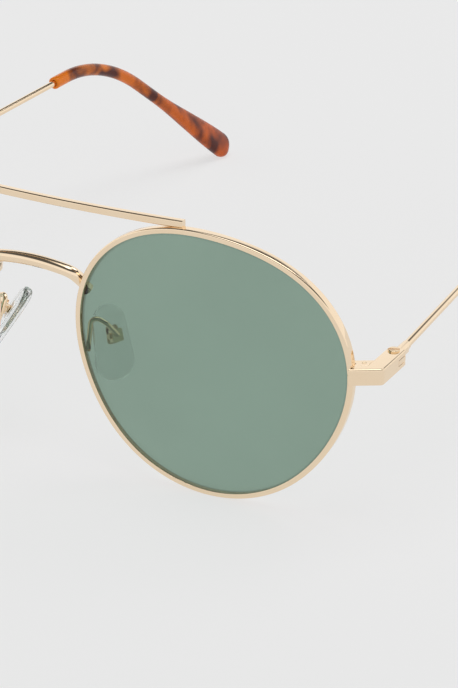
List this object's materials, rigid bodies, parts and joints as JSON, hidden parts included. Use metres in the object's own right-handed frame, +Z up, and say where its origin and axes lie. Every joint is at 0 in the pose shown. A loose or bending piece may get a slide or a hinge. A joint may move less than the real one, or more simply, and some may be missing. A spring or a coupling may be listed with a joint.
{
  "type": "aviator sunglasses",
  "caption": "Round double-bridge aviator sunglasses with a thin gold wire frame, green lenses, clear nose pads on wire arms and tortoise tips on folding temples.",
  "frame": {"origin": "on the surface that the open glasses stand on, under the middle of their bounding box", "axes": "+Z up, +X towards the wearer's left, -Y is the front (the way the wearer looks), +Y runs back to the temple tips"},
  "size_m": [0.1342, 0.156, 0.0523],
  "materials": {
    "gold": "polished pale gold plating",
    "screw_metal": "polished gold plating, darker in the slots",
    "green_glass": "polished green tinted lens",
    "clear_silicone": "clear soft plastic",
    "tortoise": "polished tortoise acetate, orange with dark brown blotches"
  },
  "bodies": {
    "front": {"brow_bar": "gold", "bridge": "gold", "rim_left": "gold", "lens_left": "green_glass", "endpiece_left": "gold", "closing_block_upper_left": "gold", "closing_block_lower_left": "gold", "closing_screw_left": "screw_metal", "hinge_screw_left": "screw_metal", "pad_arm_left": "gold", "pad_box_left": "gold", "pad_pin_left": "screw_metal", "rim_right": "gold", "lens_right": "green_glass", "endpiece_right": "gold", "closing_block_upper_right": "gold", "closing_block_lower_right": "gold", "closing_screw_right": "screw_metal", "hinge_screw_right": "screw_metal", "pad_arm_right": "gold", "pad_box_right": "gold", "pad_pin_right": "screw_metal"},
    "temple_left": {"temple_hinge_left": "gold", "temple_wire_left": "gold", "temple_tip_left": "tortoise"},
    "pad_left": {"pad_insert_left": "screw_metal", "nose_pad_left": "clear_silicone"},
    "temple_right": {"temple_hinge_right": "gold", "temple_wire_right": "gold", "temple_tip_right": "tortoise"},
    "pad_right": {"pad_insert_right": "screw_metal", "nose_pad_right": "clear_silicone"}
  },
  "joints": [
    {"name": "temple_fold_left", "type": "hinge", "parent": "front", "child": "temple_left", "pos_m": [0.06541, -0.06413, 0.02985], "axis": [0, 0, 1], "range_deg": [0, 85]},
    {"name": "temple_fold_right", "type": "hinge", "parent": "front", "child": "temple_right", "pos_m": [-0.06541, -0.06413, 0.02985], "axis": [0, 0, -1], "range_deg": [0, 71]},
    {"name": "pad_rock_left", "type": "hinge", "parent": "front", "child": "pad_left", "pos_m": [0.01249, -0.06962, 0.0247], "axis": [0.5, 0.866, 0], "range_deg": [-8, 8]},
    {"name": "pad_rock_right", "type": "hinge", "parent": "front", "child": "pad_right", "pos_m": [-0.01249, -0.06962, 0.0247], "axis": [-0.5, 0.866, 0], "range_deg": [-8, 8]}
  ]
}
